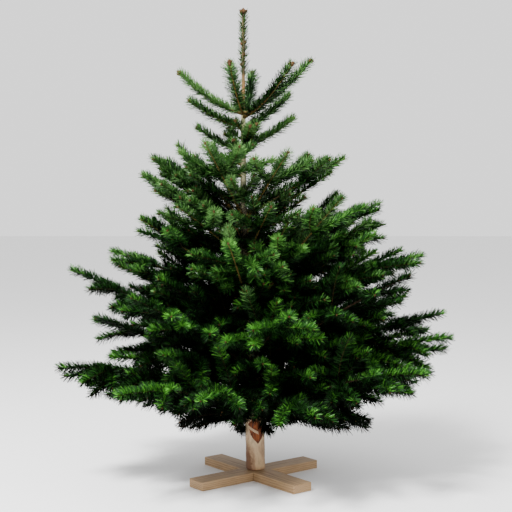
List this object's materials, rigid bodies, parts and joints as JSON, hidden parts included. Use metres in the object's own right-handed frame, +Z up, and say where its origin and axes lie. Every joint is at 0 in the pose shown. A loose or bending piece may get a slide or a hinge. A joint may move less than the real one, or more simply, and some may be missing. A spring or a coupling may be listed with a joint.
{
  "type": "christmas tree",
  "caption": "Natural cut fir tree with tiers of needled boughs round a bare-footed tapering trunk and a single leading shoot, standing upright on a plain wooden cross.",
  "frame": {"origin": "middle of the stand's flat underside, where the cross rests on the floor, below the trunk's cut foot", "axes": "+Z up along the tree; +X to the right and -Y towards the viewer in the source view, where the top leans slightly towards -X"},
  "size_m": [1.4612, 1.2903, 1.7823],
  "materials": {
    "bark": "thin, pale grey-brown fir bark, smooth with fine cracks, darker and browner on the boughs",
    "needles": "dark glossy green fir needles in flat parted sprays, brighter green at the tips",
    "board": "sawn, unpainted softwood boards with eased edges"
  },
  "bodies": {
    "root": {"high_spray_1": "needles", "high_spray_2": "needles", "high_spray_3": "needles", "high_spray_4": "needles", "high_spray_5": "needles", "high_spray_6": "needles", "high_spray_7": "needles", "inner_spray_1": "needles", "inner_spray_2": "needles", "inner_spray_3": "needles", "inner_spray_4": "needles", "leading_shoot": "needles", "low_bough_1": "bark", "low_bough_2": "bark", "low_bough_3": "bark", "low_bough_4": "bark", "low_bough_6": "bark", "low_bough_7": "bark", "low_bough_8": "bark", "low_bough_9": "bark", "low_spray_1": "needles", "low_spray_2": "needles", "low_spray_3": "needles", "low_spray_4": "needles", "low_spray_5": "needles", "low_spray_6": "needles", "low_spray_7": "needles", "low_spray_8": "needles", "low_spray_9": "needles", "lower_board": "board", "middle_bough_1": "bark", "middle_bough_2": "bark", "middle_bough_3": "bark", "middle_bough_4": "bark", "middle_bough_5": "bark", "middle_spray_1": "needles", "middle_spray_2": "needles", "middle_spray_3": "needles", "middle_spray_4": "needles", "middle_spray_5": "needles", "middle_spray_6": "needles", "middle_spray_7": "needles", "neck_shoot_1": "needles", "neck_shoot_2": "needles", "neck_shoot_3": "needles", "neck_shoot_4": "needles", "neck_shoot_5": "needles", "top_shoot_1": "needles", "top_shoot_2": "needles", "top_shoot_3": "needles", "top_shoot_4": "needles", "top_shoot_5": "needles", "trunk": "bark", "upper_board": "board", "upper_spray_1": "needles", "upper_spray_2": "needles", "upper_spray_3": "needles", "upper_spray_4": "needles", "upper_spray_5": "needles", "upper_spray_6": "needles"}
  },
  "joints": []
}
